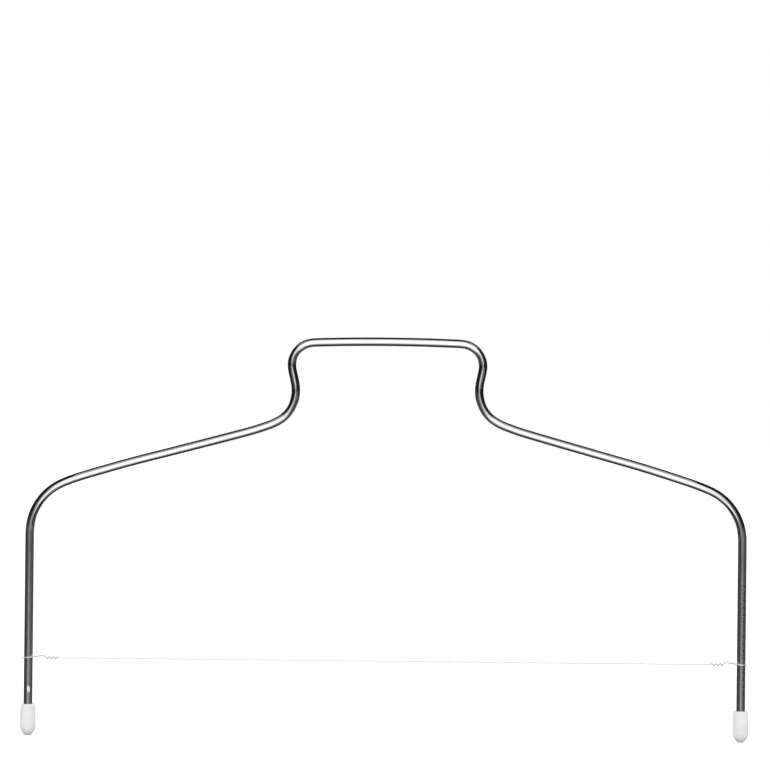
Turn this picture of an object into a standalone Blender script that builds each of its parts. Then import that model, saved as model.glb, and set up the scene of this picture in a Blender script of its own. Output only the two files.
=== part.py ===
"""Wire cake leveller: a bow of bent round rod with a cutting wire between its legs.

Metres, +Z up. The tool stands on its two feet at Z = 0, the bow lies in the XZ plane,
the front faces -Y, and X = 0 is the middle of the bow.
"""

import math

import bmesh
import bpy
import numpy as np
from mathutils import Vector

MM = 0.001

# Frame rod: one round bar, bent flat
ROD_DIAMETER = 4.0 * MM
LEG_SPACING = 326.2 * MM  # between the centre lines of the legs
FRAME_HEIGHT = 181.6 * MM  # table to the centre line of the handle bar
HANDLE_BAR_LENGTH = 67.8 * MM  # between the corners, along the bar
HANDLE_BAR_RADIUS = 880.0 * MM  # the bar is slightly crowned
HANDLE_CORNER_RADIUS = 10.3 * MM
NECK_LENGTH = 4.7 * MM  # straight part of each neck
NECK_LEAN = math.radians(12.9)  # inward, going down
NECK_FLARE_RADIUS = 18.2 * MM
SHOULDER_SLOPE = math.radians(14.9)  # below level, where the shoulder leaves the neck
SHOULDER_RADIUS = 2700.0 * MM  # the shoulders are slightly rounded
LEG_BEND_RADIUS = 25.7 * MM
ROD_END_CHAMFER = 0.4 * MM

# Height notches filed across one side of each leg
FIRST_NOTCH_HEIGHT = 22.2 * MM
NOTCH_PITCH = 3.3 * MM
NOTCH_ROW_LENGTH = 49.5 * MM
NOTCH_WIDTH = 1.1 * MM
NOTCH_DEPTH = 0.4 * MM
RIGHT_NOTCH_TURN = math.radians(-45.0)  # from straight outward, towards the front
LEFT_NOTCH_TURN = math.radians(50.0)  # from straight outward, towards the back

# Pressed mark on the front of the left leg
MARK_HEIGHT = 21.1 * MM
MARK_LENGTH = 3.2 * MM
MARK_DEPTH = 0.22 * MM
MARK_TURN = math.radians(12.0)  # from straight to the front, towards the other leg

# Cutting wire
WIRE_DIAMETER = 0.5 * MM
WIRE_NOTCH = 4  # the notch it sits at, counted from the lowest, which is 0
LOOP_CLEARANCE = 0.3 * MM  # wire surface to rod surface
THROAT_LENGTH = 5.6 * MM  # loop's free side to the first turn of the tail
TAIL_TURNS = 3
TAIL_PITCH = 1.9 * MM
TAIL_CLEARANCE = 0.45 * MM  # between the tail's turns and the wire inside them
LEFT_HUMP = 0.9 * MM  # rise of the wire between the loop and the turns
RIGHT_HUMP = 0.6 * MM
HUMP_LATENESS = 3.5  # 1 puts the hump halfway, and more puts it nearer the turns

# Foot caps
CAP_LENGTH = 14.2 * MM
CAP_CLEARANCE = 0.3 * MM  # round the rod and under its end
CAP_RIM_WALL = 1.0 * MM
CAP_FLARE = 0.3 * MM  # added to the radius at the widest place
CAP_FLOOR = 3.4 * MM
CAP_NOSE_HEIGHT = 3.2 * MM
CAP_NOSE_END = math.radians(15.0)  # slope from upright where the nose meets the side
CAP_FOOT_RADIUS = 1.1 * MM
CAP_RIM_ROUND = 0.35 * MM

# Facets
ROD_SIDES = 20
BEND_STEP = math.radians(8.0)
LEAST_BEND_STEPS = 4
CAP_SIDES = 28
NOSE_STEPS = 6
RIM_STEPS = 3
MARK_STEPS = 6
LOOP_STEPS = 24
THROAT_STEPS = 12
TURN_STEPS = 10
WIRE_BEVEL_RESOLUTION = 2

# Sizes that follow from the ones above
ROD_RADIUS = ROD_DIAMETER / 2
WIRE_RADIUS = WIRE_DIAMETER / 2
LEG_X = LEG_SPACING / 2
ROD_END_HEIGHT = CAP_FLOOR + CAP_CLEARANCE
WIRE_HEIGHT = FIRST_NOTCH_HEIGHT + WIRE_NOTCH * NOTCH_PITCH
LOOP_RADIUS = ROD_RADIUS + LOOP_CLEARANCE + WIRE_RADIUS
TAIL_RADIUS = WIRE_DIAMETER + TAIL_CLEARANCE
CAP_BORE_RADIUS = ROD_RADIUS + CAP_CLEARANCE
CAP_RIM_RADIUS = CAP_BORE_RADIUS + CAP_RIM_WALL
CAP_WIDE_RADIUS = CAP_RIM_RADIUS + CAP_FLARE


def clear_scene():
    for thing in list(bpy.data.objects):
        bpy.data.objects.remove(thing, do_unlink=True)


def plain_material(name, colour, roughness, metallic):
    material = bpy.data.materials.new(name)
    material.use_nodes = True
    shader = material.node_tree.nodes["Principled BSDF"]
    shader.inputs["Base Color"].default_value = (*colour, 1.0)
    shader.inputs["Roughness"].default_value = roughness
    shader.inputs["Metallic"].default_value = metallic
    return material


def add_object(name, data, material, parent=None):
    thing = bpy.data.objects.new(name, data)
    bpy.context.scene.collection.objects.link(thing)
    data.materials.append(material)
    if parent is not None:
        thing.parent = parent
    return thing


def mesh_from(name, body):
    """Turn a closed bmesh into a smooth-shaded mesh with its faces pointing out."""
    bmesh.ops.recalc_face_normals(body, faces=body.faces)
    mesh = bpy.data.meshes.new(name)
    body.to_mesh(mesh)
    body.free()
    mesh.shade_smooth()
    mesh.set_sharp_from_angle(angle=math.radians(40.0))
    return mesh


def skin_rings(body, rings):
    """Close a row of rings, each a list of points, into one solid with flat ends."""
    loops = [[body.verts.new(point) for point in ring] for ring in rings]
    for one, other in zip(loops, loops[1:]):
        for i, corner in enumerate(one):
            after = (i + 1) % len(one)
            body.faces.new((corner, one[after], other[after], other[i]))
    body.faces.new(reversed(loops[0]))
    body.faces.new(loops[-1])


# Frame rod
class HalfBow:
    """Centre line of the right half, drawn from the middle of the handle bar outwards.

    Each station is (x, z, heading). The heading is measured from +X towards +Z, so it is
    negative where the rod runs down.
    """

    def __init__(self):
        self.x = 0.0
        self.z = FRAME_HEIGHT
        self.heading = 0.0
        self.stations = [(self.x, self.z, self.heading)]

    def straight(self, length):
        self.x += length * math.cos(self.heading)
        self.z += length * math.sin(self.heading)
        self.stations.append((self.x, self.z, self.heading))

    def bend_to(self, heading, radius):
        """Follow an arc until the rod points along the new heading."""
        start = self.heading
        turn = heading - start
        side = math.copysign(1.0, turn)
        centre_x = self.x - side * radius * math.sin(start)
        centre_z = self.z + side * radius * math.cos(start)
        steps = max(LEAST_BEND_STEPS, math.ceil(abs(turn) / BEND_STEP))
        for i in range(1, steps + 1):
            self.heading = start + turn * i / steps
            self.x = centre_x + side * radius * math.sin(self.heading)
            self.z = centre_z - side * radius * math.cos(self.heading)
            self.stations.append((self.x, self.z, self.heading))


def half_bow():
    """Bar, corner, neck, flare, shoulder and leg bend; it ends where the leg begins."""
    down = math.radians(90.0)
    bow = HalfBow()
    bow.bend_to(-HANDLE_BAR_LENGTH / 2 / HANDLE_BAR_RADIUS, HANDLE_BAR_RADIUS)
    bow.bend_to(-down - NECK_LEAN, HANDLE_CORNER_RADIUS)
    bow.straight(NECK_LENGTH)
    bow.bend_to(-SHOULDER_SLOPE, NECK_FLARE_RADIUS)
    # the shoulder's last slope is the one from which the leg bend ends at the leg
    across = LEG_X - LEG_BEND_RADIUS - bow.x + SHOULDER_RADIUS * math.sin(SHOULDER_SLOPE)
    last_slope = math.asin(across / (SHOULDER_RADIUS - LEG_BEND_RADIUS))
    bow.bend_to(-last_slope, SHOULDER_RADIUS)
    bow.bend_to(-down, LEG_BEND_RADIUS)
    return bow.stations


def notch_heights(leg_top):
    """Heights of the notches, as many as the row and the straight leg have room for."""
    room = min(NOTCH_ROW_LENGTH, leg_top - NOTCH_WIDTH - FIRST_NOTCH_HEIGHT)
    count = math.floor(room / NOTCH_PITCH + 0.001) + 1
    return [FIRST_NOTCH_HEIGHT + i * NOTCH_PITCH for i in range(count)]


def notch_depth_at(z, heights):
    """Depth of a V notch: full at its middle, none at half its width."""
    depth = 0.0
    for height in heights:
        reach = 1.0 - abs(z - height) / (NOTCH_WIDTH / 2)
        depth = max(depth, NOTCH_DEPTH * reach)
    return depth


def mark_depth_at(z):
    """Depth of the pressed mark: half an ellipse along the leg."""
    reach = 1.0 - ((z - MARK_HEIGHT) / (MARK_LENGTH / 2)) ** 2
    return MARK_DEPTH * math.sqrt(max(0.0, reach))


def leg_heights(heights, marked):
    """Heights of the rings down a leg: at each notch's edges and middle, and along the mark."""
    levels = [height + step * NOTCH_WIDTH / 2 for height in heights for step in (-1, 0, 1)]
    if marked:
        for i in range(MARK_STEPS + 1):
            angle = math.pi * i / MARK_STEPS
            levels.append(MARK_HEIGHT - MARK_LENGTH / 2 * math.cos(angle))
    levels.append(ROD_END_HEIGHT + ROD_END_CHAMFER)
    levels.append(ROD_END_HEIGHT)
    return sorted(set(levels), reverse=True)


def rod_ring(x, z, heading, side, radius):
    """Round section; its first point faces the outside of the bow, the next ones the back."""
    outward = Vector((-side * math.sin(heading), 0.0, math.cos(heading)))
    back = Vector((0.0, 1.0, 0.0))
    centre = Vector((side * x, 0.0, z))
    ring = []
    for i in range(ROD_SIDES):
        angle = 2.0 * math.pi * i / ROD_SIDES
        ring.append(centre + radius * (math.cos(angle) * outward + math.sin(angle) * back))
    return ring


def cut_flat(ring, centre, direction, depth):
    """Push the points of a ring that stand past a flat cut back on to it."""
    flat = ROD_RADIUS - depth
    for point in ring:
        past = (point - centre).dot(direction) - flat
        if past > 0.0:
            point -= past * direction


def leg_rings(side, leg_top):
    """Rings down one leg, side +1 for the right one and -1 for the left one."""
    heights = notch_heights(leg_top)
    turn = RIGHT_NOTCH_TURN if side > 0 else LEFT_NOTCH_TURN
    notch_direction = Vector((side * math.cos(turn), math.sin(turn), 0.0))
    mark_direction = Vector((math.sin(MARK_TURN), -math.cos(MARK_TURN), 0.0))
    rings = []
    for z in leg_heights(heights, marked=side < 0):
        at_end = z <= ROD_END_HEIGHT
        radius = ROD_RADIUS - ROD_END_CHAMFER if at_end else ROD_RADIUS
        ring = rod_ring(LEG_X, z, -math.radians(90.0), side, radius)
        centre = Vector((side * LEG_X, 0.0, z))
        cut_flat(ring, centre, notch_direction, notch_depth_at(z, heights))
        if side < 0:
            cut_flat(ring, centre, mark_direction, mark_depth_at(z))
        rings.append(ring)
    return rings


def make_frame_rod(material):
    stations = half_bow()
    leg_top = stations[-1][1]
    right = [rod_ring(x, z, heading, 1, ROD_RADIUS) for x, z, heading in stations]
    left = [rod_ring(x, z, heading, -1, ROD_RADIUS) for x, z, heading in stations[1:]]
    right += leg_rings(1, leg_top)
    left += leg_rings(-1, leg_top)
    body = bmesh.new()
    skin_rings(body, list(reversed(left)) + right)
    return add_object("frame_rod", mesh_from("frame_rod", body), material)


# Cutting wire
def smooth_step(share):
    return share * share * (3.0 - 2.0 * share)


def hump_at(distance, height):
    """Rise of the wire at a distance from the leg's centre line, towards the middle."""
    span = LOOP_RADIUS + THROAT_LENGTH
    share = min(1.0, max(0.0, (distance + LOOP_RADIUS) / (span + LOOP_RADIUS)))
    return height * math.sin(math.pi * share ** HUMP_LATENESS) ** 2


def wire_end(hump):
    """Points from the cut end of the tail to the standing wire.

    Each point is (distance from the leg towards the middle, y, rise). The tail winds back
    on the wire, runs behind the leg, round its outer side and in front of it.
    """
    throat = LOOP_RADIUS + THROAT_LENGTH
    points = []
    turn_steps = TAIL_TURNS * TURN_STEPS
    for i in range(turn_steps, 0, -1):
        angle = math.radians(90.0) + 2.0 * math.pi * i / TURN_STEPS
        distance = throat + TAIL_PITCH * i / TURN_STEPS
        points.append((distance, TAIL_RADIUS * math.sin(angle), TAIL_RADIUS * math.cos(angle)))
    for i in range(THROAT_STEPS):
        share = i / THROAT_STEPS
        distance = throat * (1.0 - share)
        y = TAIL_RADIUS + (LOOP_RADIUS - TAIL_RADIUS) * smooth_step(share)
        points.append((distance, y, hump_at(distance, hump)))
    half_turn = LOOP_STEPS // 2
    for i in range(half_turn + 1):
        angle = math.radians(90.0) + math.pi * i / half_turn
        distance = LOOP_RADIUS * math.cos(angle)
        points.append((distance, LOOP_RADIUS * math.sin(angle), hump_at(distance, hump)))
    for i in range(1, THROAT_STEPS + 1):
        share = i / THROAT_STEPS
        distance = throat * share
        y = -LOOP_RADIUS * (1.0 - smooth_step(share))
        points.append((distance, y, hump_at(distance, hump)))
    return points


def wire_points():
    """The whole wire, from the left tail's cut end to the right tail's, in world places."""
    left = [(distance - LEG_X, y, WIRE_HEIGHT + rise) for distance, y, rise in wire_end(LEFT_HUMP)]
    right = [(LEG_X - distance, y, WIRE_HEIGHT + rise) for distance, y, rise in wire_end(RIGHT_HUMP)]
    return left + list(reversed(right))


def least_gap(points, diameter):
    """Least clear distance between stretches of a wire that aren't next to each other."""
    places = []
    for one, other in zip(points, points[1:]):
        start, end = np.array(one), np.array(other)
        pieces = max(1, math.ceil(np.linalg.norm(end - start) / (diameter / 2)))
        shares = np.arange(pieces)[:, None] / pieces
        places.append(start + shares * (end - start))
    places = np.vstack(places)
    steps = np.linalg.norm(np.diff(places, axis=0), axis=1)
    along = np.concatenate(([0.0], np.cumsum(steps)))
    apart = np.linalg.norm(places[:, None] - places[None], axis=2)
    not_near = np.abs(along[:, None] - along[None]) > math.pi * diameter
    return apart[not_near].min() - diameter


def make_cutting_wire(material, slide):
    points = wire_points()
    gap = least_gap(points, WIRE_DIAMETER)
    print(f"cutting wire, least gap to itself: {gap / MM:.2f} mm")
    curve = bpy.data.curves.new("cutting_wire", "CURVE")
    curve.dimensions = "3D"
    curve.bevel_depth = WIRE_RADIUS
    curve.bevel_resolution = WIRE_BEVEL_RESOLUTION
    curve.use_fill_caps = True
    spline = curve.splines.new("POLY")
    spline.points.add(len(points) - 1)
    for spline_point, (x, y, z) in zip(spline.points, points):
        spline_point.co = (x, y, z - WIRE_HEIGHT, 1.0)
    return add_object("cutting_wire", curve, material, slide)


def make_wire_slide():
    """Empty at the wire's height, on the middle of the bow, that carries the wire up and down."""
    slide = bpy.data.objects.new("wire_slide", None)
    slide.location = (0.0, 0.0, WIRE_HEIGHT)
    bpy.context.scene.collection.objects.link(slide)
    return slide


# Foot caps
def cap_profile():
    """Half section as (radius, z): foot, blunt nose, flared side, round rim, bore, bore floor.

    The nose is an arc, and its slopes at both ends lie evenly about the slope of its chord.
    """
    width = CAP_WIDE_RADIUS - CAP_FOOT_RADIUS
    foot_slope = 2.0 * math.atan2(width, CAP_NOSE_HEIGHT) - CAP_NOSE_END
    nose_radius = width / (math.cos(CAP_NOSE_END) - math.cos(foot_slope))
    profile = []
    for i in range(NOSE_STEPS + 1):
        slope = foot_slope + (CAP_NOSE_END - foot_slope) * i / NOSE_STEPS
        radius = CAP_FOOT_RADIUS + nose_radius * (math.cos(slope) - math.cos(foot_slope))
        profile.append((radius, nose_radius * (math.sin(foot_slope) - math.sin(slope))))
    for i in range(RIM_STEPS + 1):
        angle = math.radians(90.0) * i / RIM_STEPS
        radius = CAP_RIM_RADIUS - CAP_RIM_ROUND * (1.0 - math.cos(angle))
        profile.append((radius, CAP_LENGTH - CAP_RIM_ROUND * (1.0 - math.sin(angle))))
    profile.append((CAP_BORE_RADIUS, CAP_LENGTH))
    profile.append((CAP_BORE_RADIUS, CAP_FLOOR))
    return profile


def make_cap(name, side, material):
    rings = []
    for radius, z in cap_profile():
        ring = []
        for i in range(CAP_SIDES):
            angle = 2.0 * math.pi * i / CAP_SIDES
            ring.append(Vector((radius * math.cos(angle), radius * math.sin(angle), z)))
        rings.append(ring)
    body = bmesh.new()
    skin_rings(body, rings)
    cap = add_object(name, mesh_from(name, body), material)
    cap.location = (side * LEG_X, 0.0, 0.0)
    return cap


def main():
    clear_scene()
    chrome = plain_material("chrome_rod", (0.62, 0.62, 0.63), 0.12, 1.0)
    steel = plain_material("steel_wire", (0.55, 0.55, 0.56), 0.25, 1.0)
    white_plastic = plain_material("white_plastic", (0.83, 0.83, 0.82), 0.45, 0.0)
    make_frame_rod(chrome)
    make_cutting_wire(steel, make_wire_slide())
    make_cap("left_cap", -1, white_plastic)
    make_cap("right_cap", 1, white_plastic)


main()
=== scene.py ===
import math

import bpy
import numpy as np
from mathutils import Matrix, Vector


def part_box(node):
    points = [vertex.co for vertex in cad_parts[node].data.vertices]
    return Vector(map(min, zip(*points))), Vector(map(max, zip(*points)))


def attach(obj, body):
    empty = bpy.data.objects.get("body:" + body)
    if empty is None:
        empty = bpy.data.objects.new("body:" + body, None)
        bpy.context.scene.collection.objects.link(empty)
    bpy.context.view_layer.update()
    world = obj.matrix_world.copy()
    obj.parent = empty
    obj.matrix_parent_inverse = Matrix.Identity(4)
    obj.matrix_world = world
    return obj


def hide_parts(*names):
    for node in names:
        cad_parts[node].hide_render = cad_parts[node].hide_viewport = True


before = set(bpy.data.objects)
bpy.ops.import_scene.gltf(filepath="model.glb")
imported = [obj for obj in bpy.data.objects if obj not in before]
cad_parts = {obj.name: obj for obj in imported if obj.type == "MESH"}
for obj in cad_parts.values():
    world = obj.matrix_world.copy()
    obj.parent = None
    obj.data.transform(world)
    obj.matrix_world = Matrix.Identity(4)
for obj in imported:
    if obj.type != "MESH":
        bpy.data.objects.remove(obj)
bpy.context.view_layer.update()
mm = 0.001
print("frame loaded:", ", ".join(sorted(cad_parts)))


# Meshes from grids
def gridFaces(rows, sides):
    # each quad joins a ring to the next one, and the last column joins the first one again
    ring, j = np.meshgrid(sides * np.arange(rows - 1), np.arange(sides), indexing="ij")
    after = (j + 1) % sides
    quads = np.stack([ring + j, ring + after, ring + sides + after, ring + sides + j], axis=-1)
    return quads.reshape(-1, 4)


def gridUv(along, sides, girth):
    # u is the way round in metres and v the way along in metres, corner by corner of gridFaces
    i, j = np.meshgrid(np.arange(len(along) - 1), np.arange(sides), indexing="ij")
    u = np.stack([j, j + 1, j + 1, j], axis=-1) * girth / sides
    v = np.stack([along[i], along[i], along[i + 1], along[i + 1]], axis=-1)
    return np.stack([u, v], axis=-1).reshape(-1, 2)


def lengthsAlong(points):
    # the way along a line of points, from 0 at the first one
    return np.concatenate([[0.0], np.cumsum(np.linalg.norm(np.diff(points, axis=0), axis=1))])


def addSkin(name, rings, along, girth, material, sharp, fields=None):
    # rings is (rows, sides, 3), and each end is closed by a fan round the middle of its ring; edges that
    # bend by more than sharp degrees stay sharp, and fields are values at the points, (rows, sides) each
    rows, sides = rings.shape[:2]
    middles = np.stack([rings[0].mean(axis=0), rings[-1].mean(axis=0)])
    points = np.concatenate([rings.reshape(-1, 3), middles])
    quads = gridFaces(rows, sides)
    j = np.arange(sides)
    after = (j + 1) % sides
    last = (rows - 1) * sides
    startFan = np.stack([after, j, np.full(sides, rows * sides)], axis=-1)
    endFan = np.stack([last + j, last + after, np.full(sides, rows * sides + 1)], axis=-1)
    mesh = bpy.data.meshes.new(name)
    mesh.from_pydata(points.tolist(), [], quads.tolist() + startFan.tolist() + endFan.tolist())
    fanUv = np.zeros((6 * sides, 2))
    fanUv[: 3 * sides, 1] = along[0]
    fanUv[3 * sides :, 1] = along[-1]
    uv = np.concatenate([gridUv(along, sides, girth), fanUv])
    mesh.uv_layers.new(name="alongAndRound").data.foreach_set("uv", uv.astype(np.float32).ravel())
    for fieldName, values in (fields or {}).items():
        ends = [values[0].mean(), values[-1].mean()]
        flat = np.concatenate([values.ravel(), ends]).astype(np.float32)
        mesh.attributes.new(fieldName, "FLOAT", "POINT").data.foreach_set("value", flat)
    mesh.materials.append(material)
    mesh.validate()
    mesh.update()
    mesh.shade_smooth()
    mesh.set_sharp_from_angle(angle=math.radians(sharp))
    piece = bpy.data.objects.new(name, mesh)
    bpy.context.scene.collection.objects.link(piece)
    return piece


def smoothRamp(value, low, high):
    # 0 below low, 1 above high, and 3t^2 - 2t^3 between them
    t = np.clip((value - low) / (high - low), 0.0, 1.0)
    return t * t * (3.0 - 2.0 * t)


# Shader groups, each built once and placed in the materials with its own values
def newGroup(name, inputs, outputs):
    group = bpy.data.node_groups.new(name, "ShaderNodeTree")
    for socketName, kind, value in inputs:
        socket = group.interface.new_socket(name=socketName, in_out="INPUT", socket_type=kind)
        if value is not None:
            socket.default_value = value
    for socketName, kind in outputs:
        group.interface.new_socket(name=socketName, in_out="OUTPUT", socket_type=kind)
    return group, group.nodes.new("NodeGroupInput"), group.nodes.new("NodeGroupOutput")


def mathNode(tree, operation, first, second=None, clamp=False):
    node = tree.nodes.new("ShaderNodeMath")
    node.operation = operation
    node.use_clamp = clamp
    for socket, value in zip(node.inputs, (first, second)):
        if value is None:
            continue
        if isinstance(value, (int, float)):
            socket.default_value = value
        else:
            tree.links.new(value, socket)
    return node.outputs[0]


def rampNode(tree, value, fromLow, fromHigh, toLow, toHigh, kind="SMOOTHSTEP"):
    node = tree.nodes.new("ShaderNodeMapRange")
    node.interpolation_type = kind
    names = ("Value", "From Min", "From Max", "To Min", "To Max")
    for socketName, given in zip(names, (value, fromLow, fromHigh, toLow, toHigh)):
        if isinstance(given, (int, float)):
            node.inputs[socketName].default_value = given
        else:
            tree.links.new(given, node.inputs[socketName])
    return node.outputs["Result"]


def between(tree, share, first, second):
    # first where the share is 0, second where it is 1, and in proportion between them
    return rampNode(tree, share, 0.0, 1.0, first, second, "LINEAR")


def noiseNode(tree, vector, scale, detail, roughness=0.5):
    node = tree.nodes.new("ShaderNodeTexNoise")
    node.inputs["Detail"].default_value = detail
    node.inputs["Roughness"].default_value = roughness
    if isinstance(scale, (int, float)):
        node.inputs["Scale"].default_value = scale
    else:
        tree.links.new(scale, node.inputs["Scale"])
    tree.links.new(vector, node.inputs["Vector"])
    return node.outputs["Fac"]


def makeDrawLines():
    # noise on (way round, way along) with unlike scales: long fine lines along the wire or rod
    inputs = [
        ("Lines per metre round", "NodeSocketFloat", 9000.0),
        ("Lines per metre along", "NodeSocketFloat", 60.0),
    ]
    group, given, out = newGroup("drawLines", inputs, [("Height", "NodeSocketFloat")])
    uv = group.nodes.new("ShaderNodeUVMap")
    uv.uv_map = "alongAndRound"
    split = group.nodes.new("ShaderNodeSeparateXYZ")
    group.links.new(uv.outputs["UV"], split.inputs[0])
    join = group.nodes.new("ShaderNodeCombineXYZ")
    for k, axis in enumerate(("X", "Y")):
        scaled = mathNode(group, "MULTIPLY", split.outputs[axis], given.outputs[k])
        group.links.new(scaled, join.inputs[axis])
    group.links.new(noiseNode(group, join.outputs[0], 1.0, detail=3.0, roughness=0.6), out.inputs[0])
    return group


# each kind of cloud: detail of its noise, where in the noise it begins and is full, its part in the whole
handlingClouds = {"smudges": (3.0, 0.38, 0.68, 0.65), "patches": (2.0, 0.45, 0.75, 0.35)}


def makeHandling():
    # two sizes of soft cloud: broad smudges from hands and small dulled patches
    inputs = [
        ("Smudge scale", "NodeSocketFloat", 60.0),
        ("Patch scale", "NodeSocketFloat", 900.0),
        ("Polished", "NodeSocketFloat", 0.05),
        ("Dulled", "NodeSocketFloat", 0.15),
    ]
    group, given, out = newGroup("handling", inputs, [("Roughness", "NodeSocketFloat")])
    place = group.nodes.new("ShaderNodeTexCoord").outputs["Object"]
    parts = []
    for k, (detail, begins, full, part) in enumerate(handlingClouds.values()):
        noise = noiseNode(group, place, given.outputs[k], detail)
        parts.append(mathNode(group, "MULTIPLY", rampNode(group, noise, begins, full, 0.0, 1.0), part))
    share = mathNode(group, "ADD", *parts)
    group.links.new(between(group, share, given.outputs[2], given.outputs[3]), out.inputs[0])
    return group


def makeWaves():
    # slow waves in the surface, which bend the reflections a little, with a fine skin on top
    inputs = [
        ("Wave scale", "NodeSocketFloat", 150.0),
        ("Grain scale", "NodeSocketFloat", 4000.0),
        ("Grain share", "NodeSocketFloat", 0.05),
    ]
    group, given, out = newGroup("surfaceWaves", inputs, [("Height", "NodeSocketFloat")])
    place = group.nodes.new("ShaderNodeTexCoord").outputs["Object"]
    wave = noiseNode(group, place, given.outputs[0], detail=1.0)
    grain = noiseNode(group, place, given.outputs[1], detail=2.0)
    grain = mathNode(group, "MULTIPLY", grain, given.outputs[2])
    group.links.new(mathNode(group, "ADD", wave, grain), out.inputs[0])
    return group


drawLines = makeDrawLines()
handling = makeHandling()
surfaceWaves = makeWaves()


def placeGroup(tree, group, values):
    node = tree.nodes.new("ShaderNodeGroup")
    node.node_tree = group
    for name, value in values.items():
        node.inputs[name].default_value = value
    return node.outputs[0]


def newMaterial(name, values):
    material = bpy.data.materials.new(name)
    material.use_nodes = True
    shader = material.node_tree.nodes["Principled BSDF"]
    for socketName, value in values.items():
        shader.inputs[socketName].default_value = value
    return material, material.node_tree, shader


def bumpInto(tree, shader, heights):
    # heights is a list of (height, distance in metres): each bump stands on the one before
    normal = None
    for height, distance in heights:
        bump = tree.nodes.new("ShaderNodeBump")
        bump.inputs["Distance"].default_value = distance
        tree.links.new(height, bump.inputs["Height"])
        if normal is not None:
            tree.links.new(normal, bump.inputs["Normal"])
        normal = bump.outputs["Normal"]
    tree.links.new(normal, shader.inputs["Normal"])


def attributeNode(tree, name):
    node = tree.nodes.new("ShaderNodeAttribute")
    node.attribute_name = name
    return node.outputs["Fac"]


def mixColour(tree, share, first, second):
    node = tree.nodes.new("ShaderNodeMix")
    node.data_type = "RGBA"
    tree.links.new(share, node.inputs["Factor"])
    for socket, value in ((node.inputs["A"], first), (node.inputs["B"], second)):
        if isinstance(value, tuple):
            socket.default_value = value
        else:
            tree.links.new(value, socket)
    return node.outputs["Result"]


# Chromed rod
chrome = {
    "plate": (0.842, 0.862, 0.872, 1.0),
    "worn": (0.34, 0.335, 0.32, 1.0),
    "handling": {"Polished": 0.03, "Dulled": 0.09},
    "legDulled": 0.05,         # roughness that the legs have more than the rest
    "wornRoughness": 0.42,
    # the oval on the left leg's pressed mark: a painted highlight, paler and less metallic than the plate
    # in place of the glint off the flat, and rougher
    "paintedGlintColour": (0.93, 0.93, 0.92, 1.0),
    "ovalRoughness": 0.6,
    "paintedGlintMetal": 0.35,
    "waves": {"Wave scale": 160.0, "Grain share": 0.02},
    "waveHeight": 0.012 * mm,
    "lineHeight": 0.0012 * mm,
}


def makeChrome():
    material, tree, shader = newMaterial("bright_chrome", {})
    worn = attributeNode(tree, "wear")
    dull = attributeNode(tree, "dull")
    # painted highlight: the oval on the pressed mark is made paler, less metallic and rougher, in place of
    # the glint off the flat
    paintedGlintOval = rampNode(tree, attributeNode(tree, "paintedGlintOval"), *mark["edge"], 0.0, 1.0)
    metal = mixColour(tree, worn, chrome["plate"], chrome["worn"])
    tree.links.new(mixColour(tree, paintedGlintOval, metal, chrome["paintedGlintColour"]), shader.inputs["Base Color"])
    tree.links.new(between(tree, paintedGlintOval, 1.0, chrome["paintedGlintMetal"]), shader.inputs["Metallic"])
    rough = placeGroup(tree, handling, chrome["handling"])
    rough = mathNode(tree, "ADD", rough, mathNode(tree, "MULTIPLY", dull, chrome["legDulled"]))
    rough = between(tree, worn, rough, chrome["wornRoughness"])
    rough = between(tree, paintedGlintOval, rough, chrome["ovalRoughness"])
    tree.links.new(rough, shader.inputs["Roughness"])
    waves = placeGroup(tree, surfaceWaves, chrome["waves"])
    lines = placeGroup(tree, drawLines, {})
    bumpInto(tree, shader, [(waves, chrome["waveHeight"]), (lines, chrome["lineHeight"])])
    return material


rodLow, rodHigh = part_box("frame_rod")
rod = {
    "radius": (rodHigh.y - rodLow.y) / 2,
    "barRadius": 880.0 * mm,
    "cornerRadius": 10.25 * mm,
    "legBendRadius": 25.7 * mm,
    "endChamfer": 0.4 * mm,
    "endRings": 4,
    "flattening": 0.08,       # of the section in a bend, times rod radius over bend radius
    "easing": 1.5 * mm,       # how far each bend runs into its neighbours
    # small waves that bending left in each shoulder: distance from the middle, rise and half width
    "waves": [
        (52.1 * mm, 0.62 * mm, 6.2 * mm),
        (80.0 * mm, -0.2 * mm, 25.0 * mm),
        (119.0 * mm, 0.23 * mm, 15.0 * mm),
        (148.0 * mm, -0.38 * mm, 5.5 * mm),
    ],
    "sides": 64,
    "bendStep": math.radians(1.6),     # between rings in a bend
    "longStep": 3.0 * mm,              # between rings elsewhere on the bow
    "lineStep": 0.25 * mm,             # between the points on which the bends are eased
    "legStep": 2.4 * mm,               # between rings on the plain parts of a leg
    "legMargin": 1.0 * mm,             # from a leg's ends to the first and last of those
    "leastStep": 0.02 * mm,            # a ring closer than this to another is left out
    # the legs are duller than the bow: what is left of it at their top, how far it then fades up the leg
    # bend, and how far in from the leg it is found
    "dullTop": 0.5,
    "dullFade": 25.0 * mm,
    "dullWidth": 8.0 * mm,
    "sharp": 50.0,
}
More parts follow.
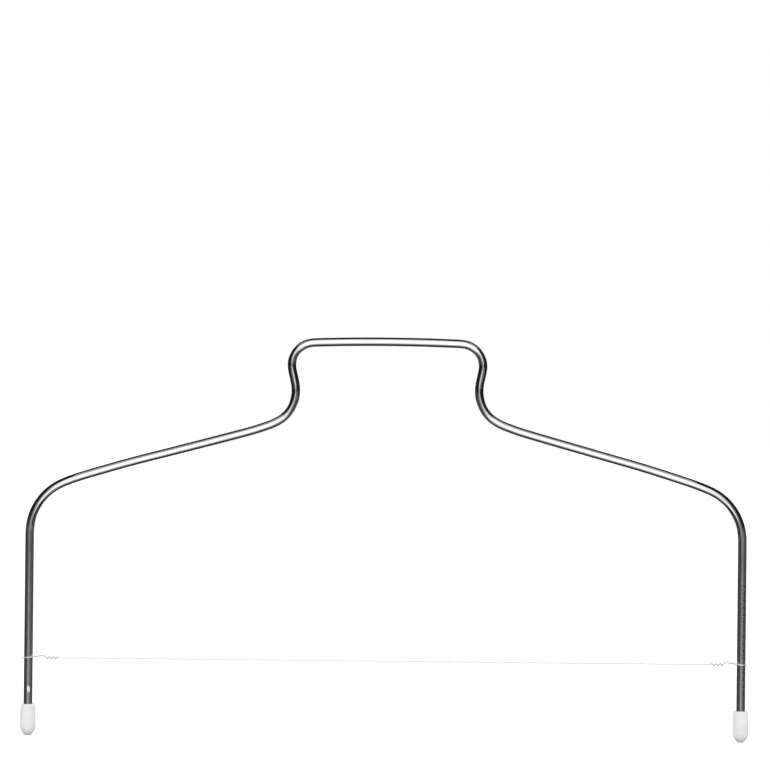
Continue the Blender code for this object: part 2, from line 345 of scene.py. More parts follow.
# the halves were bent one after the other, so they differ a little; both lie within 0.7 mm of the solid
leftHalf = {
    "halfBar": 34.15 * mm,
    "neckLean": math.radians(13.4),
    "neckLength": 5.72 * mm,
    "flareRadius": 17.1 * mm,
    "shoulderSlope": math.radians(14.6),
    "shoulderRadius": 2980.0 * mm,
}
rightHalf = {
    "halfBar": 33.85 * mm,
    "neckLean": math.radians(12.5),
    "neckLength": 5.38 * mm,
    "flareRadius": 17.5 * mm,
    "shoulderSlope": math.radians(15.0),
    "shoulderRadius": 2390.0 * mm,
}
notch = {
    "first": 22.2 * mm,
    "pitch": 3.3 * mm,
    "count": 16,
    "width": 1.1 * mm,
    "depth": 0.4 * mm,
    "blunt": 0.18,             # how rounded the bottom of the V is
    "lip": 0.03 * mm,          # height of the burr on each side
    "lipWidth": 0.16,          # of the burr, in notch widths
    "rightTurn": math.radians(-45.0),     # from straight outward, towards the back
    "leftTurn": math.radians(50.0),
    "facing": (0.74, 0.9),     # cosines from the way that the row faces over which the burr grows
    "lipWear": 0.75,           # how worn the plate is on the burrs and in the cuts
    "cutWear": 0.9,
    # rings on each side of a notch's middle, in half widths
    "rings": (0.0, 0.1, 0.25, 0.4, 0.55, 0.7, 0.82, 0.92, 1.0, 1.08, 1.2, 1.35, 1.6),
}
mark = {
    "height": 21.1 * mm,
    "length": 3.2 * mm,
    "width": 1.24 * mm,
    "turn": math.radians(12.0),     # from straight to the front, towards the other leg
    "edge": (-0.05, 0.12),     # of the painted highlight oval's field, which is 0 on its outline and 1 in its middle
    "rings": 40,
    "ringReach": 1.3,          # how far the rings reach, in half lengths
}
legX = rodHigh.x - rod["radius"]
crown = rodHigh.z - rod["radius"]
rodEnd = rodLow.z


def arcRun(start, newHeading, radius):
    # points on a circle from one heading to the next: centre + radius * (side sin h, -side cos h)
    x, z, heading = start
    turn = newHeading - heading
    side = math.copysign(1.0, turn)
    steps = math.ceil(max(abs(turn) / rod["bendStep"], abs(turn) * radius / rod["longStep"]))
    h = heading + turn * np.arange(1, steps + 1) / steps
    centreX = x - side * radius * math.sin(heading)
    centreZ = z + side * radius * math.cos(heading)
    return np.stack([centreX + side * radius * np.sin(h), centreZ - side * radius * np.cos(h), h], axis=1)


def straightRun(start, length):
    # the end of a straight piece: start + length * (cos h, sin h)
    x, z, heading = start
    return np.array([[x + length * math.cos(heading), z + length * math.sin(heading), heading]])


def easedBends(run):
    # rows of (x, z, heading, rod radius over bend radius) down half of the bow, close together where it
    # turns: the line is bell-averaged along its length, and past its ends it goes on as a mirror image
    # and straight
    lengths = lengthsAlong(run[:, :2])
    at = np.linspace(0.0, lengths[-1], math.ceil(lengths[-1] / rod["lineStep"]))
    step = at[1]
    x, z = np.interp(at, lengths, run[:, 0]), np.interp(at, lengths, run[:, 1])
    for place, rise, width in rod["waves"]:
        z += rise * np.exp(-(((x - place) / width) ** 2))
    half = math.ceil(3 * rod["easing"] / step)
    bell = np.exp(-0.5 * (np.arange(-half, half + 1) * step / rod["easing"]) ** 2)
    bell /= bell.sum()
    x = np.concatenate([-x[half:0:-1], x, np.full(half, x[-1])])
    z = np.concatenate([z[half:0:-1], z, z[-1] - step * np.arange(1, half + 1)])
    x, z = np.convolve(x, bell, mode="valid"), np.convolve(z, bell, mode="valid")
    heading = np.unwrap(np.arctan2(np.gradient(z), np.gradient(x)))
    heading[0], heading[-1] = 0.0, -math.pi / 2
    turn = np.abs(np.gradient(heading)) / step
    need = np.cumsum(np.maximum(turn / rod["bendStep"], 1.0 / rod["longStep"]) * step)
    rows = np.unique(np.searchsorted(need, np.linspace(need[0], need[-1], math.ceil(need[-1]))))
    rows = np.minimum(rows, len(x) - 1)
    return np.stack([x[rows], z[rows], heading[rows], rod["radius"] * turn[rows]], axis=1)


def halfBow(half):
    # bar, corner, neck, flare, shoulder and leg bend, each from the last point of the one before, as rows
    # of (x, z, heading)
    down = math.radians(90.0)
    slope, shoulder = half["shoulderSlope"], half["shoulderRadius"]
    run = np.array([[0.0, crown, 0.0]])

    def bent(heading, radius):
        return np.concatenate([run, arcRun(run[-1], heading, radius)])

    def straight(length):
        return np.concatenate([run, straightRun(run[-1], length)])

    run = bent(-half["halfBar"] / rod["barRadius"], rod["barRadius"])
    run = bent(-down - half["neckLean"], rod["cornerRadius"])
    run = straight(half["neckLength"])
    run = bent(-slope, half["flareRadius"])
    # the shoulder's last slope is the one from which the leg bend ends at the leg
    across = legX - rod["legBendRadius"] - run[-1, 0] + shoulder * math.sin(slope)
    lastSlope = math.asin(across / (shoulder - rod["legBendRadius"]))
    run = bent(-lastSlope, shoulder)
    run = bent(-down, rod["legBendRadius"])
    return easedBends(straight(4 * rod["easing"]))     # a little way down the leg, where the last bend ends


def notchHeights():
    return notch["first"] + notch["pitch"] * np.arange(notch["count"])


def legLevels(legTop, marked):
    # heights of the rings down a leg: close together at the notches and the mark, far apart elsewhere
    shares = np.array(notch["rings"])
    shares = np.concatenate([-shares[:0:-1], shares])
    levels = [(notchHeights()[:, None] + shares * notch["width"] / 2).ravel()]
    if marked:
        shares = np.linspace(-mark["ringReach"], mark["ringReach"], mark["rings"])
        levels.append(mark["height"] + mark["length"] / 2 * shares)
    levels.append(np.arange(rodEnd + rod["legMargin"], legTop - rod["legMargin"], rod["legStep"]))
    levels.append(rodEnd + np.linspace(0.0, rod["endChamfer"], rod["endRings"]))
    levels = np.unique(np.round(np.concatenate(levels), 7))     # to a tenth of a micrometre
    keep = np.concatenate([[True], np.diff(levels) > rod["leastStep"]])
    return levels[keep][::-1]


def vDepth(z):
    # rounded V notches: depth * (1 - sqrt(t^2 + b^2)) / (1 - b), with t from a notch's middle to its edge
    t = np.abs(z[:, None] - notchHeights()) / (notch["width"] / 2)
    blunt = notch["blunt"]
    reach = (1.0 - np.sqrt(t * t + blunt * blunt)) / (1.0 - blunt)
    return notch["depth"] * np.maximum(reach, 0.0).max(axis=1)


def lipRise(z):
    # small burr beside each notch: a bell curve at half the width from its middle
    t = (np.abs(z[:, None] - notchHeights()) - notch["width"] / 2) / (notch["lipWidth"] * notch["width"])
    return notch["lip"] * np.exp(-t * t).max(axis=1)


def cutBack(points, centres, direction, flat):
    # moves what stands past a plane back on to it: p - max(0, (p - c) . d - flat) d
    past = np.maximum((points - centres) @ direction - flat[:, None], 0.0)
    return points - past[..., None] * direction, past


def dressLeg(points, centres, side):
    # notches with their burrs, the pressed mark on the left leg, and two fields: how worn each place is,
    # and the oval of painted highlight on the mark, 1 - (across / half its width)^2 - (along / half its
    # length)^2
    z = centres[:, 0, 2]
    turn = notch["rightTurn"] if side > 0 else notch["leftTurn"]
    toNotch = np.array([side * math.cos(turn), math.sin(turn), 0.0])
    outward = (points - centres) / rod["radius"]
    facing = smoothRamp(outward @ toNotch, *notch["facing"])
    rise = lipRise(z)
    points = points + (rise[:, None] * facing)[..., None] * outward
    bottom = rod["radius"] + notch["lip"] - vDepth(z) * (1 + notch["lip"] / notch["depth"])
    cut, past = cutBack(points, centres, toNotch, bottom)
    onLip = rise[:, None] / notch["lip"] * facing
    inCut = np.clip(past / notch["depth"], 0.0, 1.0)
    wear = np.maximum(notch["lipWear"] * onLip, notch["cutWear"] * inCut)
    if side > 0:
        return cut, wear, np.full(wear.shape, -1.0)
    # the mark is a flat whose half width w is the oval's, so it lies sqrt(radius^2 - w^2) from the middle
    halfWidth = mark["width"] / 2
    share = 1.0 - ((z - mark["height"]) / (mark["length"] / 2)) ** 2
    toMark = np.array([math.sin(mark["turn"]), -math.cos(mark["turn"]), 0.0])
    flat = np.sqrt(rod["radius"] ** 2 - halfWidth**2 * np.maximum(share, 0.0))
    cut = cutBack(cut, centres, toMark, flat)[0]
    across = rod["radius"] * np.arccos(np.clip(outward @ toMark, -1.0, 1.0)) / halfWidth
    return cut, wear, np.maximum(share[:, None] - across**2, -1.0)


def rodRings():
    # one round section carried along the whole bow: centre + radius * (cos a outward + sin a back)
    halves = []
    for side, half in ((-1, leftHalf), (1, rightHalf)):
        bow = halfBow(half)
        legTop = bow[-1, 1]
        z = legLevels(legTop, side < 0)
        leg = np.stack(np.broadcast_arrays(legX, z, -math.pi / 2, 0.0), axis=1)
        rows = len(bow) + len(leg)
        onLeg = np.arange(rows) >= len(bow)
        same = np.full((rows, 2), (side, legTop))
        halves.append(np.column_stack([np.concatenate([bow, leg]), same, onLeg]))
    path = np.concatenate([halves[0][:0:-1], halves[1]])
    x, z, heading, bend, sideOf, legTop, onLeg = path.T
    onLeg = onLeg > 0
    centres = np.stack([sideOf * x, 0.0 * x, z], axis=1)
    outward = np.stack([-sideOf * np.sin(heading), 0.0 * x, np.cos(heading)], axis=1)
    back = np.array([0.0, 1.0, 0.0])
    angle = 2.0 * math.pi * np.arange(rod["sides"]) / rod["sides"]
    bend = np.convolve(np.pad(bend, 3, mode="edge"), np.ones(7) / 7, mode="valid")     # mean of seven rings
    oval = 1.0 - rod["flattening"] * bend[:, None] * np.cos(2.0 * angle)
    chamfer = np.clip((z - rodEnd) / rod["endChamfer"], 0.0, 1.0)
    ends = 1.0 - rod["endChamfer"] / rod["radius"] * (1.0 - chamfer)
    size = rod["radius"] * oval * ends[:, None]
    spoke = np.cos(angle)[:, None] * outward[:, None, :] + np.sin(angle)[:, None] * back
    points = centres[:, None, :] + size[..., None] * spoke
    wear = np.zeros(points.shape[:2])
    # field of the oval that carries a painted highlight on the left leg's mark, -1 elsewhere
    paintedGlintOval = np.full(points.shape[:2], -1.0)
    for side in (-1, 1):
        rows = onLeg & (sideOf == side)
        points[rows], wear[rows], paintedGlintOval[rows] = dressLeg(points[rows], centres[rows][:, None, :], side)
    notchesEnd = notch["first"] + notch["pitch"] * notch["count"]
    dull = np.where(onLeg, 1.0 - (1.0 - rod["dullTop"]) * smoothRamp(z, notchesEnd, legTop), 0.0)
    nearLeg = x > legX - rod["dullWidth"]
    fade = smoothRamp(legTop + rod["dullFade"] - z, 0.0, rod["dullFade"])
    dull = np.maximum(dull, rod["dullTop"] * nearLeg * fade)
    dull = np.repeat(dull[:, None], rod["sides"], axis=1)
    return points, lengthsAlong(centres), {"wear": wear, "paintedGlintOval": paintedGlintOval, "dull": dull}


rings, along, fields = rodRings()
girth = 2 * math.pi * rod["radius"]
bentRod = addSkin("bentRod", rings, along, girth, makeChrome(), rod["sharp"], fields)
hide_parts("frame_rod")
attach(bentRod, "frame")
print("rod:", len(bentRod.data.polygons), "faces")


# Cutting wire
steel = {
    "bright": (0.95, 0.95, 0.945, 1.0),
    "dark": (0.84, 0.84, 0.835, 1.0),
    "metal": (0.38, 0.68),     # lowest and highest share of mirror-like metal over the drawn lines
    "metalEdge": (0.3, 0.7),   # where in the lines' noise these lie
    "handling": {"Polished": 0.18, "Dulled": 0.3, "Smudge scale": 200.0},
    "lines": {"Lines per metre round": 14000.0, "Lines per metre along": 120.0},
    "lineHeight": 0.004 * mm,
}
wire = {
    "radius": 0.25 * mm,
    "height": 35.4 * mm,
    "loopClearance": 0.3 * mm,
    "throat": 5.6 * mm,
    "turns": 3,
    "pitch": 1.9 * mm,
    "turnClearance": 0.05 * mm,
    # between the loop and the turns the wire climbs to a peak: its rise and its distance from the leg
    "humpFrom": -1.0 * mm,
    "leftHump": (0.9 * mm, 6.8 * mm),
    "rightHump": (0.9 * mm, 7.3 * mm),
    "leftTilt": 0.2 * mm,      # how far the loop stands up in front and down behind
    "rightTilt": 0.12 * mm,
    "softening": 0.3 * mm,     # how far the bends are rounded along the wire
    "turnPoints": 60,          # points of the line, before it is cut into even steps
    "throatPoints": 60,
    "loopPoints": 72,
    "step": 0.06 * mm,         # between rings at the ends and on the span
    "spanStep": 1.5 * mm,
    "sides": 16,
    "cutEnd": 0.72,            # thickness of the cut ends, over that of the wire
    "cutLength": 0.25 * mm,
    "sharp": 60.0,
}


def makeSteel():
    material, tree, shader = newMaterial("drawn_steel", {})
    lines = placeGroup(tree, drawLines, steel["lines"])
    tree.links.new(mixColour(tree, lines, steel["dark"], steel["bright"]), shader.inputs["Base Color"])
    metallic = rampNode(tree, lines, *steel["metalEdge"], *steel["metal"])
    tree.links.new(metallic, shader.inputs["Metallic"])
    tree.links.new(placeGroup(tree, handling, steel["handling"]), shader.inputs["Roughness"])
    bumpInto(tree, shader, [(lines, steel["lineHeight"])])
    return material


def humpRise(distance, hump, throatEnd):
    # rise of the wire between the loop and the turns: a ramp up to the peak, and a ramp down to the turns
    height, peak = hump
    climb = smoothRamp(distance, wire["humpFrom"], peak)
    return height * np.minimum(climb, 1.0 - smoothRamp(distance, peak, throatEnd))


def wireEnd(hump, tilt):
    # from the cut end: turns wound back on the wire, behind the leg, round its outer side and in front of
    # it, as rows of (distance from the leg towards the middle, y, rise)
    loopRadius = rod["radius"] + wire["loopClearance"] + wire["radius"]
    turnRadius = 2 * wire["radius"] + wire["turnClearance"]
    throatEnd = loopRadius + wire["throat"]

    def risen(distance, y, lift):
        return np.stack([distance, y, humpRise(distance, hump, throatEnd) + lift], axis=1)

    t = np.linspace(wire["turns"], 0.0, wire["turnPoints"] * wire["turns"], endpoint=False)
    angle = math.pi / 2 + 2 * math.pi * t
    y, rise = turnRadius * np.sin(angle), turnRadius * np.cos(angle)
    turns = np.stack([throatEnd + wire["pitch"] * t, y, rise], axis=1)
    share = np.arange(wire["throatPoints"]) / wire["throatPoints"]
    spread = smoothRamp(share, 0.0, 1.0)
    y = turnRadius + (loopRadius - turnRadius) * spread
    behind = risen(throatEnd * (1.0 - share), y, -tilt * spread)
    angle = math.pi / 2 + math.pi * np.linspace(0.0, 1.0, wire["loopPoints"])
    around = risen(loopRadius * np.cos(angle), loopRadius * np.sin(angle), -tilt * np.sin(angle))
    share = np.linspace(0.0, 1.0, wire["throatPoints"] + 1)[1:]
    spread = 1.0 - smoothRamp(share, 0.0, 1.0)
    front = risen(throatEnd * share, -loopRadius * spread, tilt * spread)
    return np.concatenate([turns, behind, around, front])


def evenly(points, step):
    # the same line with points at even distances
    lengths = lengthsAlong(points)
    at = np.linspace(0.0, lengths[-1], math.ceil(lengths[-1] / step))
    return np.stack([np.interp(at, lengths, points[:, k]) for k in range(3)], axis=1)


def softened(points, reach, step):
    # bell-weighted mean of each point's neighbours, with both ends carried on straight
    half = math.ceil(3 * reach / step)
    weights = np.exp(-0.5 * (np.arange(-half, half + 1) * step / reach) ** 2)
    weights /= weights.sum()
    before = points[0] + (points[0] - points[1]) * np.arange(half, 0, -1)[:, None]
    after = points[-1] + (points[-1] - points[-2]) * np.arange(1, half + 1)[:, None]
    padded = np.concatenate([before, points, after])
    return np.stack([np.convolve(padded[:, k], weights, mode="valid") for k in range(3)], axis=1)


def wirePath():
    ends = []
    for side in ("left", "right"):
        line = wireEnd(wire[side + "Hump"], wire[side + "Tilt"])
        ends.append(softened(evenly(line, wire["step"]), wire["softening"], wire["step"]))
    left = ends[0] + (-legX, 0, wire["height"])
    right = ends[1][::-1] * (-1, 1, 1) + (legX, 0, wire["height"])
    gap = right[0] - left[-1]
    steps = math.ceil(np.linalg.norm(gap) / wire["spanStep"])
    span = left[-1] + gap * (np.arange(1, steps) / steps)[:, None]
    return np.concatenate([left, span, right])


def tubeRings(path, radius, sides):
    # a circle square to the path at each point: centre + r (cos a side + sin a up), side = up x tangent
    tangent = np.gradient(path, axis=0)
    tangent /= np.linalg.norm(tangent, axis=1)[:, None]
    side = np.cross(np.array([0.0, 0.0, 1.0]), tangent)
    side /= np.linalg.norm(side, axis=1)[:, None]
    up = np.cross(tangent, side)
    angle = 2 * math.pi * np.arange(sides) / sides
    spoke = np.cos(angle)[:, None] * side[:, None, :] + np.sin(angle)[:, None] * up[:, None, :]
    return path[:, None, :] + radius[:, None, None] * spoke


path = wirePath()
along = lengthsAlong(path)
whole = smoothRamp(np.minimum(along, along[-1] - along), 0.0, wire["cutLength"])
rings = tubeRings(path, wire["radius"] * (wire["cutEnd"] + (1.0 - wire["cutEnd"]) * whole), wire["sides"])
girth = 2 * math.pi * wire["radius"]
wireSkin = addSkin("cuttingWire", rings, along, girth, makeSteel(), wire["sharp"])
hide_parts("cutting_wire")
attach(wireSkin, "wire")
print("wire:", len(wireSkin.data.polygons), "faces,", round(along[-1] * 1000), "mm long")


# Foot caps
plastic = {
    "colour": (0.83, 0.83, 0.822, 1.0),
    "shade": (0.79, 0.79, 0.78, 1.0),
    "cloudScale": 260.0,       # of the noise between the two, and where in it the shade begins and is full
    "cloudEdge": (0.35, 0.7),
    "handling": {"Polished": 0.34, "Dulled": 0.5, "Smudge scale": 180.0},
    "skin": {"Wave scale": 500.0, "Grain scale": 9000.0, "Grain share": 0.5},
    "skinHeight": 0.006 * mm,
    "shader": {
        "IOR": 1.49,
        "Subsurface Weight": 0.12,
        "Subsurface Scale": 1.5 * mm,
        "Subsurface Radius": (1.0, 1.0, 1.0),
    },
}
cap = {
    "footRadius": 1.1 * mm,
    "footRound": 0.15 * mm,
    "noseSlope": math.radians(61.0),     # from upright, at the foot
    "noseRings": 18,
    "wideRadius": 3.6 * mm,
    "sideCurve": 1.4,          # 1 makes the side straight, and more brings its taper nearer the rim
    "sideRings": 13,
    "rimRadius": 3.3 * mm,
    "rimRound": 0.35 * mm,
    "rimRings": 8,
    "mouthLead": 0.3 * mm,
    "mouth": ((1.0, 0.0), (0.3, 0.5), (0.0, 1.3)),     # how far off the bore and how deep, in leads
    "grip": 0.03 * mm,         # between the bore and the rod
    "boreRing": 2.5 * mm,      # depth of one more ring in the bore
    "floor": 3.5 * mm,
    "floorRound": 0.3 * mm,
    "gateRadius": 0.45 * mm,
    "gateDepth": 0.12 * mm,
    "gateSlope": 0.1 * mm,
    "least": 0.05 * mm,        # radius of the innermost rings
    "seam": 0.025 * mm,
    "seamWidth": math.radians(2.2),
    "seamFrom": (1.2 * mm, 2.6 * mm),     # radii over which the seam begins
    "sides": 120,
    "sharp": 45.0,
}


def makePlastic():
    material, tree, shader = newMaterial("moulded_white", plastic["shader"])
    place = tree.nodes.new("ShaderNodeTexCoord").outputs["Object"]
    noise = noiseNode(tree, place, plastic["cloudScale"], detail=3.0)
    cloud = rampNode(tree, noise, *plastic["cloudEdge"], 0.0, 1.0)
    tree.links.new(mixColour(tree, cloud, plastic["colour"], plastic["shade"]), shader.inputs["Base Color"])
    tree.links.new(placeGroup(tree, handling, plastic["handling"]), shader.inputs["Roughness"])
    skin = placeGroup(tree, surfaceWaves, plastic["skin"])
    bumpInto(tree, shader, [(skin, plastic["skinHeight"])])
    return material


def noseArc():
    # an arc that leaves the foot at the nose's slope and ends upright at the widest place
    bow = (cap["wideRadius"] - cap["footRadius"]) / (1.0 - math.cos(cap["noseSlope"]))
    slope = np.linspace(cap["noseSlope"], 0.0, cap["noseRings"])
    radius = cap["footRadius"] + bow * (np.cos(slope) - math.cos(cap["noseSlope"]))
    return np.stack([radius, bow * (math.sin(cap["noseSlope"]) - np.sin(slope))], axis=1)


def capProfile(height):
    # half section as (radius, z), from the middle of the foot round the outside and down the bore, and
    # how many of its points are below the top of the rim
    gate = np.array([
        (cap["least"], cap["gateDepth"]),
        (cap["gateRadius"] - cap["gateSlope"], cap["gateDepth"]),
        (cap["gateRadius"], 0.0),
        (cap["footRadius"] - cap["footRound"], 0.0),
    ])
    nose = noseArc()
    share = np.linspace(0.0, 1.0, cap["sideRings"] + 1)[1:]
    sideEnd = np.array([cap["rimRadius"], height - cap["rimRound"]])
    side = nose[-1] + (sideEnd - nose[-1]) * np.stack([share ** cap["sideCurve"], share], axis=1)
    angle = np.linspace(0.0, math.pi / 2, cap["rimRings"] + 1)[1:]
    rim = sideEnd + cap["rimRound"] * np.stack([np.cos(angle) - 1.0, np.sin(angle)], axis=1)
    bore, lead = rod["radius"] + cap["grip"], cap["mouthLead"]
    inside = [(bore + off * lead, height - deep * lead) for off, deep in cap["mouth"]] + [
        (bore, height - cap["boreRing"]),
        (bore, cap["floor"] + cap["floorRound"]),
        (bore - cap["floorRound"], cap["floor"]),
        (cap["least"], cap["floor"]),
    ]
    outside = np.concatenate([gate, nose, side, rim])
    return np.concatenate([outside, inside]), len(outside) - 1


def addCap(name, node, material):
    # the half section turned round the leg's axis, with a fine mould seam down its two sides
    low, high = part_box(node)
    profile, rimTop = capProfile(high.z - low.z)
    angle = 2 * math.pi * np.arange(cap["sides"]) / cap["sides"]
    apart = np.abs((angle + math.pi / 2) % math.pi - math.pi / 2)
    seam = cap["seam"] * np.exp(-((apart / cap["seamWidth"]) ** 2))
    outside = smoothRamp(profile[:, 0], *cap["seamFrom"]) * (np.arange(len(profile)) < rimTop)
    radius = profile[:, :1] + outside[:, None] * (seam - cap["seam"])
    middle = (low + high) / 2
    rings = np.stack([
        middle.x + radius * np.cos(angle),
        middle.y + radius * np.sin(angle),
        low.z + np.repeat(profile[:, 1:], cap["sides"], axis=1),
    ], axis=2)
    girth = 2 * math.pi * cap["rimRadius"]
    piece = addSkin(name, rings, lengthsAlong(profile), girth, material, cap["sharp"])
    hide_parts(node)
    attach(piece, "frame")
    print(name, len(piece.data.polygons), "faces")


white = makePlastic()
addCap("leftFootCap", "left_cap", white)
addCap("rightFootCap", "right_cap", white)


# Camera: level, far off, on the middle of the photograph, and leaning a little
view = {
    "pixels": 770,
    "barPixel": (387.62, 341.29),     # where the crown of the handle bar is seen
    "metresPerPixel": 0.4577 * mm,
    "lean": math.radians(0.6),
    "distance": 1.3,
    "sensor": 36.0,
    "nearest": 0.05,
    "farthest": 50.0,
}


def makeCamera():
    lean = view["lean"]
    middle = (view["pixels"] - 1) / 2
    right = (middle - view["barPixel"][0]) * view["metresPerPixel"]
    up = (view["barPixel"][1] - middle) * view["metresPerPixel"]
    x = right * math.cos(lean) - up * math.sin(lean)
    z = crown + right * math.sin(lean) + up * math.cos(lean)
    data = bpy.data.cameras.new("frontCamera")
    data.sensor_width = view["sensor"]
    data.lens = view["sensor"] * view["distance"] / (view["pixels"] * view["metresPerPixel"])
    data.clip_start = view["nearest"]
    data.clip_end = view["farthest"]
    camera = bpy.data.objects.new("frontCamera", data)
    axes = Matrix((
        (math.cos(lean), -math.sin(lean), 0.0),
        (0.0, 0.0, -1.0),
        (math.sin(lean), math.cos(lean), 0.0),
    ))
    camera.matrix_world = Matrix.Translation((x, -view["distance"], z)) @ axes.to_4x4()
    bpy.context.scene.collection.objects.link(camera)
    bpy.context.scene.camera = camera


makeCamera()


# Studio: white world, pale floor, and a room of soft lights, dark cloths and two dark cards that only
# reflections see
studio = {
    # what a reflection sees in front, as (sine of the elevation, level), from straight down to straight up
    "front": [
        (-1.0, 0.03), (-0.975, 0.03), (-0.94, 0.12), (-0.85, 0.38), (-0.67, 0.72), (-0.47, 1.1),
        (-0.30, 1.6), (-0.19, 2.2), (-0.17, 0.40), (-0.108, 0.34), (-0.078, 0.19), (-0.052, 0.16),
        (-0.044, 0.38), (-0.02, 0.60), (0.015, 0.8), (0.04, 2.2), (0.22, 2.2), (0.30, 1.7), (0.47, 1.25),
        (0.67, 0.92), (0.85, 0.68), (0.94, 0.18), (0.975, 0.03),
    ],
    # how much of that is left to the sides, by the sine of the angle to the side
    "sides": [
        (0.0, 1.0), (0.1, 1.0), (0.17, 0.85), (0.28, 0.6), (0.45, 0.56), (0.53, 0.42), (0.6, 0.26),
        (0.68, 0.08), (1.0, 0.03),
    ],
    # and by that sine less this much of the elevation's
    "skew": 0.8,
    "corners": [
        (0.0, 1.0), (0.09, 0.65), (0.13, 0.52), (0.15, 0.35), (0.3, 0.17), (0.5, 0.06), (0.7, 0.02),
        (1.0, 0.02),
    ],
    # the dim belt round the room: its elevations, how soft its two edges are, what is left in front from
    # the left to the right, and its level behind on the left and on the right
    "belt": (-0.17, -0.03),
    "beltEdges": (0.01, 0.004),
    "beltSides": [
        (-1.0, 0.18), (-0.94, 0.16), (-0.81, 0.18), (-0.64, 0.36), (-0.45, 0.70), (-0.2, 1.0), (0.2, 1.0),
        (0.45, 0.76), (0.64, 0.55), (0.81, 0.42), (0.94, 0.36), (1.0, 0.36),
    ],
    "beltBehind": (0.035, 0.07),
    "beltTurn": 0.3,             # how far to each side it goes from one to the other
    "mostLevel": 4.0,            # no level above is higher
    "join": 0.02,                # width over which the front meets the back
    "behind": 1.0,
    "behindFrom": 0.93,          # how far back a direction must point to see the lit background
    "behindEdge": 0.03,
    "dark": 0.03,                # cloth behind, straight back and to the sides
    "darkSide": 0.012,
    "darkEdge": (0.27, 0.42),
    "rearLight": 0.9,            # two lamps behind, where all three of these are passed
    "lampAside": (0.4, 0.5),
    "lampAloft": (0.17, 0.25),
    "lampBack": (0.58, 0.68),
    "soft": (1.88, 1.25, 0.22),  # light on matt surfaces from the front, from above and from behind
    "floorShown": 0.72,
    "floorShade": 0.42,          # how strongly the object's shadow shows on it
    "floorPaint": 0.5,
    "floorX": (-4.0, 4.0),
    "floorY": (-4.0, 6.0),
    "cardX": 0.26,
    "cardY": (-0.183, 0.1),
    "cardZ": (-0.2, 0.36),
    "cardShades": {"leftCard": (0.11, 0.045), "rightCard": (0.12, 0.07)},     # at the front edge and deeper
    "cardFade": 0.16,            # how far behind the edge the card is as dark as that
    "cardDark": 0.01,            # above the legs
    "cardDarkAbove": 0.11,
    "cardDarkEdge": 0.015,
}


def levelRamp(tree, value, stops):
    # straight lines between (value, level) pairs, with values from -1 to 1
    ramp = tree.nodes.new("ShaderNodeValToRGB")
    elements = ramp.color_ramp.elements
    for k, (at, level) in enumerate(stops):
        element = elements[k] if k < 2 else elements.new(1.0)
        element.position = (at + 1.0) / 2.0
        element.color = (level / studio["mostLevel"],) * 3 + (1.0,)
    tree.links.new(rampNode(tree, value, -1.0, 1.0, 0.0, 1.0, "LINEAR"), ramp.inputs[0])
    return mathNode(tree, "MULTIPLY", ramp.outputs["Color"], studio["mostLevel"])


def roomLevel(tree, x, y, z):
    # what a reflection sees in the direction (x, y, z)
    aside, aloft = mathNode(tree, "ABSOLUTE", x), mathNode(tree, "ABSOLUTE", z)
    low, high = studio["belt"]
    lowEdge, highEdge = studio["beltEdges"]
    aboveLow = rampNode(tree, z, low - lowEdge, low + lowEdge, 0.0, 1.0)
    belowHigh = rampNode(tree, z, high - highEdge, high + highEdge, 1.0, 0.0)
    inBelt = mathNode(tree, "MULTIPLY", aboveLow, belowHigh)

    skew = mathNode(tree, "SUBTRACT", aside, mathNode(tree, "MULTIPLY", aloft, studio["skew"]))
    sides, corners = levelRamp(tree, aside, studio["sides"]), levelRamp(tree, skew, studio["corners"])
    share = mathNode(tree, "MULTIPLY", sides, corners)
    share = between(tree, inBelt, share, levelRamp(tree, x, studio["beltSides"]))
    front = mathNode(tree, "MULTIPLY", levelRamp(tree, z, studio["front"]), share)

    cloth = rampNode(tree, aside, *studio["darkEdge"], studio["dark"], studio["darkSide"])
    belt = rampNode(tree, x, -studio["beltTurn"], studio["beltTurn"], *studio["beltBehind"])
    back = between(tree, inBelt, cloth, belt)
    lamps = studio["rearLight"]
    for value, edge in ((aside, "lampAside"), (aloft, "lampAloft"), (y, "lampBack")):
        lamps = mathNode(tree, "MULTIPLY", rampNode(tree, value, *studio[edge], 0.0, 1.0), lamps)
    far, edge = studio["behindFrom"], studio["behindEdge"]
    back = rampNode(tree, y, far - edge, far + edge, mathNode(tree, "ADD", back, lamps), studio["behind"])
    return rampNode(tree, y, -studio["join"], studio["join"], front, back, "LINEAR")


def makeWorld():
    world = bpy.data.worlds.new("studioWorld")
    bpy.context.scene.world = world
    world.use_nodes = True
    tree = world.node_tree
    tree.nodes.clear()
    split = tree.nodes.new("ShaderNodeSeparateXYZ")
    tree.links.new(tree.nodes.new("ShaderNodeTexCoord").outputs["Generated"], split.inputs[0])
    x, y, z = split.outputs
    ahead, above, after = studio["soft"]
    soft = rampNode(tree, y, -1.0, 1.0, ahead, after, "LINEAR")
    soft = between(tree, z, soft, above)
    paths = tree.nodes.new("ShaderNodeLightPath")
    seen = mathNode(tree, "MAXIMUM", paths.outputs["Is Glossy Ray"], paths.outputs["Is Transmission Ray"])
    light = between(tree, seen, soft, roomLevel(tree, x, y, z))
    strength = between(tree, paths.outputs["Is Camera Ray"], light, 1.0)
    background = tree.nodes.new("ShaderNodeBackground")
    background.inputs["Color"].default_value = (1.0, 1.0, 1.0, 1.0)
    tree.links.new(strength, background.inputs["Strength"])
    output = tree.nodes.new("ShaderNodeOutputWorld")
    tree.links.new(background.outputs[0], output.inputs["Surface"])


def addCard(name, corners, material):
    mesh = bpy.data.meshes.new(name)
    mesh.from_pydata(corners, [], [(0, 1, 2, 3)])
    mesh.materials.append(material)
    card = bpy.data.objects.new(name, mesh)
    bpy.context.scene.collection.objects.link(card)
    return card


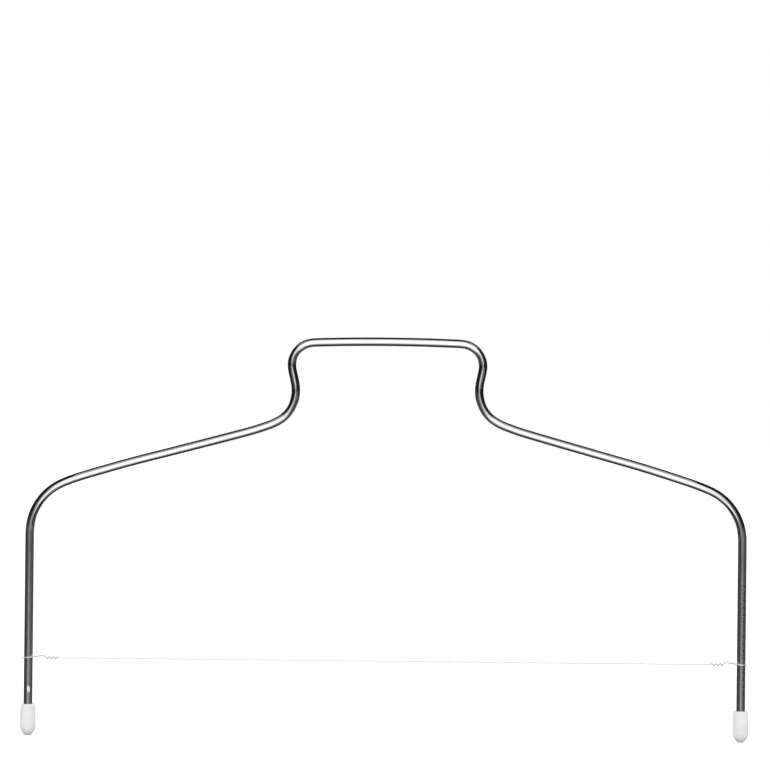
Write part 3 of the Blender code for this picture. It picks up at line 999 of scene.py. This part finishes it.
def emptyMaterial(name):
    material = bpy.data.materials.new(name)
    material.use_nodes = True
    material.node_tree.nodes.clear()
    output = material.node_tree.nodes.new("ShaderNodeOutputMaterial")
    return material, material.node_tree, output.inputs["Surface"]


def greyPaint(tree, level):
    paint = tree.nodes.new("ShaderNodeBsdfDiffuse")
    paint.inputs["Color"].default_value = (level, level, level, 1.0)
    return paint


def makeFloor():
    # matt grey to the object, and to the camera nearly white, with the object's shadow
    material, tree, surface = emptyMaterial("pale_floor")
    paint, shown = greyPaint(tree, studio["floorPaint"]), greyPaint(tree, studio["floorShade"])
    glow = tree.nodes.new("ShaderNodeEmission")
    glow.inputs["Strength"].default_value = studio["floorShown"]
    both = tree.nodes.new("ShaderNodeAddShader")
    tree.links.new(shown.outputs[0], both.inputs[0])
    tree.links.new(glow.outputs[0], both.inputs[1])
    paths = tree.nodes.new("ShaderNodeLightPath")
    seen = mathNode(tree, "MAXIMUM", paths.outputs["Is Camera Ray"], paths.outputs["Is Transmission Ray"])
    choice = tree.nodes.new("ShaderNodeMixShader")
    tree.links.new(seen, choice.inputs[0])
    tree.links.new(paint.outputs[0], choice.inputs[1])
    tree.links.new(both.outputs[0], choice.inputs[2])
    tree.links.new(choice.outputs[0], surface)
    (left, right), (front, back) = studio["floorX"], studio["floorY"]
    corners = [(left, front, 0), (right, front, 0), (right, back, 0), (left, back, 0)]
    addCard("floor", corners, material).visible_glossy = False


def cardPaint(name, edge, deep):
    # dark grey, a little paler towards the front edge, and nearly black above the legs
    material, tree, surface = emptyMaterial(name)
    split = tree.nodes.new("ShaderNodeSeparateXYZ")
    tree.links.new(tree.nodes.new("ShaderNodeTexCoord").outputs["Object"], split.inputs[0])
    front, top, soft = studio["cardY"][0], studio["cardDarkAbove"], studio["cardDarkEdge"]
    level = rampNode(tree, split.outputs["Y"], front, front + studio["cardFade"], edge, deep)
    shade = rampNode(tree, split.outputs["Z"], top - soft, top + soft, level, studio["cardDark"])
    glow = tree.nodes.new("ShaderNodeEmission")
    tree.links.new(shade, glow.inputs["Strength"])
    tree.links.new(glow.outputs[0], surface)
    return material


def makeCards():
    front, back = studio["cardY"]
    low, high = studio["cardZ"]
    for side, (name, (edge, deep)) in zip((-1, 1), studio["cardShades"].items()):
        x = side * studio["cardX"]
        corners = [(x, front, low), (x, back, low), (x, back, high), (x, front, high)]
        card = addCard(name, corners, cardPaint(name + "Paint", edge, deep))
        card.visible_camera = False
        card.visible_diffuse = False
        card.visible_shadow = False
        card.visible_transmission = False


makeWorld()
makeFloor()
makeCards()
bpy.context.scene.view_settings.view_transform = "Standard"
print("studio and camera made")
